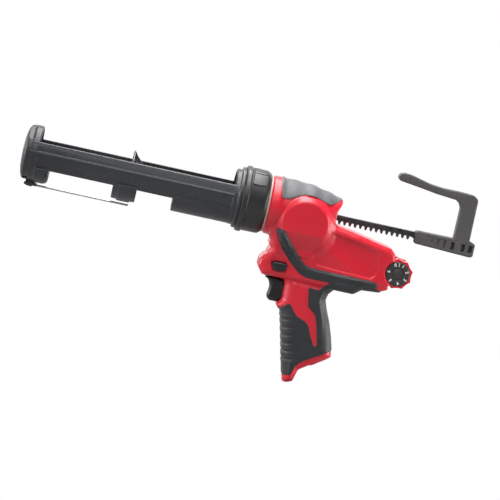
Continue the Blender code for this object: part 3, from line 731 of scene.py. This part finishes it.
def make_collar(looks):
    """The locking collar with its raised fields, and the pale ring between it and the body."""
    front, rear = COLLAR_LOW.x, COLLAR_HIGH.x
    radius = COLLAR_RADIUS
    collar = turned((
        (front, 28.4), (front, radius - 1.2), (front + 0.5, radius - 0.4), (front + 1.2, radius),
        (front + 5.4, radius), (front + 6.0, radius - 0.5), (front + 6.4, radius - 1.6),
        (rear - 4.4, radius - 1.8), (rear - 2.6, radius - 2.3), (rear - 1.2, radius - 3.2),
        (rear, radius - 4.4), (rear, 28.4),
        (133, 28.4), (133, 31), (127, 31), (127, 28.4),
    ), sides=128)
    fields, pitch, first, gap = 4, 28.3, 33.4, 0.9
    panels = []
    for k in range(fields):
        start = first + k * pitch + gap
        panels.append(turned((
            (front + 7.6, radius - 3), (front + 7.6, radius - 1.2), (front + 8.2, radius - 0.7),
            (rear - 4.2, radius - 1.1), (rear - 3.6, radius - 1.7), (rear - 3.6, radius - 3),
        ), sector=(start, start + pitch - 2 * gap), sides=200))
    weld(collar, *panels)
    finish(softened(collar, 0.3), "collar", looks["collar"], "collar", ["locking_collar"], 35)
    ring = turned((
        (rear + 0.3, 28.3), (rear + 0.3, 29.2), (rear + 0.7, 29.7), (rear + 1.8, 29.7), (rear + 2.2, 29.3),
        (rear + 2.2, 28.3),
    ), sides=128)
    finish(ring, "neck_ring", looks["pale"], "housing", ["neck_seal_ring"])


def rail_outline(side):
    """A side rail's section: an upper band facing up a little, a crease and a lower band that leans in."""
    outer = [(26.3, 12.9), (28.1, 4.8), (29.1, 3.4), (29.1, 2.6), (28.2, 1.2), (27.3, -4.6), (24.5, -12.9)]
    inner = [(24, -13.7), (22.7, -13.6), (22.4, -12.8), (25.6, -1), (25.9, 3.4), (24.5, 13.2), (25, 13.7)]
    return [(side * y, z) for y, z in outer + inner]


def hoop_flat(side):
    """The region beyond a flat on the hoop's shoulder, as a (y, z) outline."""
    tilt, reach, beyond = math.radians(52), 26.9, 40.0
    out = Vector((side * math.cos(tilt), math.sin(tilt)))
    along = Vector((-out.y, out.x)) * 20
    corners = (out * reach - along, out * reach + along, out * beyond + along, out * beyond - along)
    return [(p.x, p.y) for p in corners]


def yoke_solid():
    """The front hoop: a slightly domed end wall, shoulder flats, the nozzle slot and the toe below."""
    hoop = turned((
        (YOKE_FRONT + 2, BORE), (YOKE_FRONT + 2, 27.8), (YOKE_FRONT + 3.4, 28.5), (-102.6, 28.5),
        (-102.0, 28.9), (-96.6, 28.9), (-95.4, 28.3), (-95, 27.4), (-95, BORE),
    ), sides=128)
    wall = turned((
        (YOKE_FRONT - 1.5, 0), (YOKE_FRONT - 1.5, 11), (YOKE_FRONT - 1.0, 17.5), (YOKE_FRONT, 22.6),
        (YOKE_FRONT + 1.2, 26.2), (YOKE_FRONT + 2.4, 27.9), (CARTRIDGE_SEAT + 0.6, 28.1),
        (CARTRIDGE_SEAT + 0.6, 26.4), (CARTRIDGE_SEAT, 26.4), (CARTRIDGE_SEAT, 0),
    ), sides=128)
    toe = turned((
        (-97, BORE), (-97, 29.0), (-95, 30.0), (-86, 30.0), (-83.4, 29.2), (-81.6, 27.8), (-81, BORE),
    ), sides=128, sector=(206, 334))
    yoke = weld(hoop, wall, toe)
    slot = [(-9, 34), (-9, 0)]
    slot += [(-9 * math.cos(math.pi * k / 24), -9 * math.sin(math.pi * k / 24)) for k in range(1, 24)]
    slot += [(9, 0), (9, 34)]
    cut(yoke, along_x(slot, YOKE_FRONT - 5, -106))
    for side in (-1, 1):
        cut(yoke, block((-107, -102.4), sorted((side * 7, side * 15)), (-31, -24)))
        cut(yoke, along_x(hoop_flat(side), YOKE_FRONT - 4, -102.3))
        cut(yoke, cylinder(*sorted((side * 19.5, side * 30)), 1.1, centre=(-83.6, 0, -19.4), sides=24))
    return moulded(yoke, 0.5, 4)


def wire_clip():
    """The lug the wire turns in, with a bar along each side of it."""
    bar = rounded(((-5.4, -33.8), (7.8, -33.8), (7.8, -31.0), (-5.4, -31.0)), 1.2)
    neck = ((-4, -33), (5.5, -33), (5.5, -27), (-4, -27))
    lug = rounded(((-3.2, -34.6), (3.2, -35.0), (4.4, -28), (-4.4, -28)), 1.0)
    plates = []
    for side in (-1, 1):
        for outline, inner, outer in ((bar, 2.0, 4.6), (neck, 2.2, 3.8), (lug, 1.5, 3.8)):
            placed = [(WIRE_PIVOT.x + x, z) for x, z in outline]
            plates.append(plate(placed, *sorted((side * inner, side * outer))))
    return plates


def make_carriage(looks):
    """One moulding: bayonet ring, two side rails, rear cradle, middle saddle, front hoop and wire lug."""
    ring = turned((
        (108.6, BORE), (108.6, 28.2), (109.4, 29.0), (110, 29.2), (113.7, 29.2), (114.1, 29.6), (114.3, 31.4),
        (114.9, 32), (117.6, 32), (118, 31.6), (118, 28), (137, 28), (137, BORE),
    ), sides=128)
    rails = [along_x(rail_outline(side), -104, 111.5) for side in (-1, 1)]
    cradle = turned((
        (49.2, BORE), (49.2, 28.0), (50, 28.8), (106, 28.8), (112, 28.8), (112, BORE),
    ), sides=128, sector=(203, 337))
    saddle = turned((
        (-14, BORE), (-14, 28.2), (-13, 28.7), (-8.6, 28.9), (-7.2, 30.2), (4.8, 30.2), (6.6, 28.9),
        (10.2, 28.7), (11, 28.2), (11, BORE),
    ), sides=128, sector=(203, 337))
    carriage = softened(weld(ring, *rails, cradle, saddle), 0.35)
    weld(carriage, yoke_solid(), *wire_clip())
    cut(carriage, cylinder(-4.2, 4.2, 1.4, centre=WIRE_PIVOT, sides=24))
    finish(carriage, "carriage", looks["black"], "carriage", ["carriage_frame"], 35)


def make_wire(looks):
    """The swinging puncture wire: a straight rod with a cross leg through the lug."""
    pivot = WIRE_PIVOT.x
    route = ((pivot, 3.9), (pivot, 1.6), (pivot + 0.5, 0.4), (pivot + 1.8, 0), (4.0, 0), (5.6, 0))
    curve = bpy.data.curves.new("puncture_wire", "CURVE")
    curve.dimensions = "3D"
    curve.bevel_depth = 1.05
    curve.bevel_resolution = 6
    curve.use_fill_caps = True
    line = curve.splines.new("POLY")
    line.points.add(len(route) - 1)
    for point, (x, y) in zip(line.points, route):
        point.co = (x, y, WIRE_PIVOT.z, 1)
    finish(meshed(curve), "wire", looks["wire"], "wire", ["puncture_wire"], 60)


# Rack, plunger, hook


def make_rack(looks):
    """The bar with its teeth below, which are set out from the drive pinion's axis."""
    low, high = cad("rack_bar")
    module = 1.8
    pitch = math.pi * module
    tip, root = low.z, low.z + 2.1 * module
    flank = ((0.38, tip), (0.54, tip + 0.12), (1.67, root - 0.1), (1.88, root))
    points = [(low.x, high.z), (low.x, tip), (48, tip)]
    for k in range(-24, 20):
        x = DRIVE.x + pitch * (k + 0.5)
        points += [(x - across, z) for across, z in reversed(flank)]
        points += [(x + across, z) for across, z in flank]
    points += [(high.x - 52, tip), (high.x, tip), (high.x, high.z)]
    rack = plate(points, low.y, high.y)
    finish(softened(rack, 0.25), "rack", looks["rack"], "rack", ["rack_bar"], 35)


def make_plunger(looks):
    """The disc that pushes the cartridge's piston, with a hub and gussets behind it."""
    radius = cad("plunger_disc")[1].z
    disc = turned((
        (0, 0), (0, radius - 0.9), (0.3, radius - 0.3), (0.9, radius), (1.8, radius), (2.2, radius - 0.4),
        (2.2, 11.4), (3, 10.4), (13.4, 9.8), (14, 9.2), (14, 0),
    ))
    fin = ((1.5, 9), (1.5, 23.8), (2.8, 22.8), (4.6, 19.8), (11.4, 13.0), (13.6, 9.6), (13.6, 9))
    gussets = 8
    for k in range(gussets):
        half_thickness = 1.5 if k % 2 == 0 else 0.9
        gusset = plate(fin, -half_thickness, half_thickness)
        gusset.data.transform(Matrix.Rotation(2 * math.pi * k / gussets, 4, "X"))
        weld(disc, gusset)
    for rim in (15.0, 20.0):
        cut(disc, tube(-1, 0.35, rim, rim + 0.8))
    finish(softened(disc, 0.25), "plunger", looks["rack"], "rack", ["plunger_disc"], 35)


def hook_outline():
    return (
        (276.5, 53.2), (273.8, 56.4), (275.4, 60.6), (279.6, 62.0), (288, 61.4), (297, 59.2), (309, 56.4),
        (323.5, 55.0), (340, 55.2), (356, 54.4), (361, 50.8), (361.6, 7.0), (368.3, 4.6), (368.3, -8.4),
        (365.4, -9.9), (305.2, -7.6), (303.6, 4.4), (306.4, 5.9), (344.8, 6.2), (344.8, 38.5), (342.4, 43.4),
        (338, 46.0), (316.4, 47.8), (294.1, 51.0),
    )


def make_hook(looks):
    """The hook handle, with a row of slots in each side that get deeper towards its end."""
    half_width = cad("hook_handle")[1].y
    hook = pillow(rounded(hook_outline(), 1.6, 4), half_width, 1.4)
    slots = (
        (323, 0.6, 0.3), (329.4, 1.0, 0.8), (336.3, 1.3, 1.6), (344.9, 1.9, 4.4), (356, 1.9, 4.4),
        (363.9, 1.9, 4.4),
    )
    for x, half, depth in slots:
        slot = rounded(((x - half, -5.4), (x + half, -5.4), (x + half, 2.4), (x - half, 2.4)), 0.5, 2)
        for side in (-1, 1):
            cut(hook, plate(slot, *sorted((side * (half_width - depth), side * 9))))
    finish(softened(hook, 0.2), "hook", looks["hook"], "rack", ["hook_handle"], 35)


# Controls


def button_outline():
    return ((163.1, -57), (165, -55.4), (178, -55.4), (179.9, -57.8), (176.8, -63.4), (166.6, -64.4))


def trigger_outline():
    return (
        (159.0, -72.6), (162.4, -75.2), (165.6, -78.2), (167.4, -83), (167.2, -88.5), (166.3, -92.5),
        (167.0, -95.8), (170, -98.2), (176.4, -98.3), (187.3, -95), (187.3, -76), (180, -72.4),
    )


def make_controls(looks):
    trigger = pillow(rounded(trigger_outline(), 1.2), cad("trigger")[1].y - 0.3, 4.2)
    finish(moulded(trigger, 0.4, 3), "trigger_lever", looks["control"], "trigger", ["trigger"])
    low, high = cad("lock_button")
    half = (high.y - low.y) / 2
    button = pillow(rounded(button_outline(), 1.8), half, 1.0, (low.y + high.y) / 2)
    finish(softened(button, 0.15), "lock", looks["control"], "lock", ["lock_button"])


def scalloped_rim():
    """The dial's edge: nine rounded points with a hollow between each two."""
    bumps, per_bump = 9, 24
    outer_radius, scallop_depth = 16.3, 1.8
    first_peak = math.radians(19)
    rim = []
    for k in range(bumps * per_bump):
        angle = 2 * math.pi * k / (bumps * per_bump)
        scallop = abs(math.sin(bumps * (angle - first_peak) / 2)) ** 0.8
        radius = outer_radius - scallop_depth * scallop
        rim.append((DIAL.x + radius * math.cos(angle), DIAL.z + radius * math.sin(angle)))
    return rim


def make_dial(looks):
    """A scalloped wheel on each side, with a numbered plate let into it."""
    low, high = cad("dial_wheel_right")
    edge = cad("dial_face_right")[1].y
    face_profile = (
        (15.6, 0), (15.6, 12.4), (edge - 0.6, 12.6), (edge - 0.1, 12.1), (edge, 11.4), (edge, 7.6),
        (edge - 0.7, 7.0), (edge - 0.7, 4.8), (edge - 0.2, 4.2), (edge - 0.2, 0),
    )
    for side, name in LEFT_RIGHT:
        middle = side * (low.y + high.y) / 2
        wheel = pillow(scalloped_rim(), (high.y - low.y) / 2, 0.6, middle)
        pocket = sorted((side * (high.y - 2.2), side * 22))
        cut(wheel, cylinder(*pocket, 12.9, centre=DIAL, sides=96))
        finish(wheel, f"dial_rim_{name}", looks["red"], "dial", [f"dial_wheel_{name}"])
        face = turned([(side * along, radius) for along, radius in face_profile], "Y", DIAL)
        finish(face, f"dial_plate_{name}", looks["dial"], "dial", [f"dial_face_{name}"])
        make_numbers(looks, side, name, edge)


def make_numbers(looks, side, name, edge):
    """The digits and a pointer mark printed round the dial's face."""
    clockwise = {"I": 358, "1": 23, "2": 68, "3": 117, "4": 166, "5": 219, "6": 276, "0": 335}
    for mark, degrees in clockwise.items():
        text = bpy.data.curves.new("digit", "FONT")
        text.body = mark
        text.size = 4.6
        text.extrude = 0.06
        text.offset = 0.12
        text.align_x = "CENTER"
        text.align_y = "CENTER"
        digit = meshed(text)
        upright = Matrix.Rotation(math.pi / 2, 4, "X")
        turn = Matrix.Rotation(math.pi if side > 0 else 0.0, 4, "Z")
        spin = Matrix.Rotation(-math.radians(degrees), 4, "Z")
        offset = Matrix.Translation((0, MARK_RADIUS, 0))
        place = Matrix.Translation((DIAL.x, side * (edge + 0.02), DIAL.z))
        digit.data.transform(place @ turn @ upright @ spin @ offset)
        finish(digit, f"dial_mark_{name}_{mark}", looks["print"], "dial")


def keep_cad_parts(looks):
    """The inner pieces keep their own shape and take finished materials."""
    by_look = {
        "steel": (
            "plunger_pin", "drive_shaft", "drive_pinion", "drive_bearing_left", "drive_bearing_right",
            "planet_carrier", "planet_gear_1", "planet_gear_2", "planet_gear_3", "motor_can", "ring_gear",
            "worm_bearing", "dial_axle",
        ),
        "brass": ("worm_wheel", "battery_terminals"),
        "black": ("trigger_switch", "speed_pot", "rack_guide_front", "rack_guide_rear", "motor_end_cap"),
        "rack": ("armature", "hook_pin"),
        "board": ("control_board",),
    }
    for look, nodes in by_look.items():
        for node in nodes:
            for material_slot in frame["nodes"][node].material_slots:
                material_slot.material = looks[look]


# Floor, light and camera


def make_stage():
    """A wide floor that shades and reflects as pale grey, and that the camera sees as plain white."""
    drop = 0.145
    floor_z = CARRIAGE_LOW.z * MM - drop
    bm = bmesh.new()
    bmesh.ops.create_grid(bm, x_segments=1, y_segments=1, size=6.0)
    mesh = bpy.data.meshes.new("floor")
    bm.to_mesh(mesh)
    bm.free()
    floor = bpy.data.objects.new("floor", mesh)
    floor.location = (0, 0, floor_z)
    bpy.context.scene.collection.objects.link(floor)
    n = Nodes("pale_floor")
    n.shader.inputs["Base Color"].default_value = (0.3, 0.3, 0.3, 1)
    n.shader.inputs["Roughness"].default_value = 0.9
    glow = n.tree.nodes.new("ShaderNodeEmission")
    path = n.tree.nodes.new("ShaderNodeLightPath")
    mix = n.tree.nodes.new("ShaderNodeMixShader")
    n.link(path.outputs["Is Camera Ray"], mix.inputs["Fac"])
    n.link(n.shader.outputs["BSDF"], mix.inputs[1])
    n.link(glow.outputs["Emission"], mix.inputs[2])
    n.link(mix.outputs["Shader"], n.tree.nodes["Material Output"].inputs["Surface"])
    mesh.materials.append(n.material)


def area_light(name, place, target, size, power, colour=(1, 1, 1)):
    data = bpy.data.lights.new(name, "AREA")
    data.shape = "RECTANGLE"
    data.size, data.size_y = size
    data.energy = power
    data.color = colour
    lamp = bpy.data.objects.new(name, data)
    lamp.location = place
    lamp.visible_camera = False
    lamp.rotation_euler = (Vector(target) - Vector(place)).to_track_quat("-Z", "Y").to_euler()
    bpy.context.scene.collection.objects.link(lamp)


def make_lights():
    """Soft boxes above, in front, behind and at both ends, under a dim sky that the camera sees as white."""
    middle = (0.14, 0, -0.02)
    area_light("key_above", (0.05, 0.0, 1.2), middle, (1.8, 0.6), 38)
    area_light("front_soft", (-0.2, -1.6, 1.1), middle, (1.2, 0.8), 8)
    area_light("backdrop", (0.14, 2.4, 0.3), middle, (5.0, 2.4), 70)
    area_light("left_box", (-1.2, -0.05, -0.05), middle, (0.8, 1.0), 24, (0.9, 0.96, 1.0))
    area_light("right_box", (1.4, -0.05, -0.05), middle, (0.8, 1.0), 22)
    world = bpy.data.worlds.new("studio")
    bpy.context.scene.world = world
    world.use_nodes = True
    nodes, links = world.node_tree.nodes, world.node_tree.links
    sky = nodes["Background"]
    sky.inputs["Color"].default_value = (1, 1, 1, 1)
    sky.inputs["Strength"].default_value = 0.08
    seen = nodes.new("ShaderNodeBackground")
    seen.inputs["Color"].default_value = (1, 1, 1, 1)
    seen.inputs["Strength"].default_value = 1.0
    path = nodes.new("ShaderNodeLightPath")
    mix = nodes.new("ShaderNodeMixShader")
    links.new(path.outputs["Is Camera Ray"], mix.inputs["Fac"])
    links.new(sky.outputs["Background"], mix.inputs[1])
    links.new(seen.outputs["Background"], mix.inputs[2])
    links.new(mix.outputs["Shader"], nodes["World Output"].inputs["Surface"])


def make_camera():
    """A long lens on the tool's left side, tipped so that the nose points up to the left."""
    target = Vector((0.1396, 0, -0.0515))
    azimuth, elevation, roll = math.radians(3.8), math.radians(6.0), math.radians(12.6)
    distance = 2.2
    back = Vector((
        -math.sin(azimuth) * math.cos(elevation),
        -math.cos(azimuth) * math.cos(elevation),
        math.sin(elevation),
    ))
    up = Vector((-math.sin(roll), 0, math.cos(roll)))
    up = (up - back * up.dot(back)).normalized()
    right = up.cross(back)
    data = bpy.data.cameras.new("camera")
    data.angle = math.radians(13.52)
    data.clip_start, data.clip_end = 0.05, 20
    camera = bpy.data.objects.new("camera", data)
    axes = Matrix((right, up, back)).transposed().to_4x4()
    camera.matrix_world = Matrix.Translation(target + back * distance) @ axes
    bpy.context.scene.collection.objects.link(camera)
    bpy.context.scene.camera = camera
    bpy.context.scene.view_settings.view_transform = "Standard"


def main():
    looks = make_materials()
    make_body(looks)
    make_collar(looks)
    make_carriage(looks)
    make_wire(looks)
    make_rack(looks)
    make_plunger(looks)
    make_hook(looks)
    make_controls(looks)
    make_dial(looks)
    keep_cad_parts(looks)
    make_stage()
    make_lights()
    make_camera()


main()
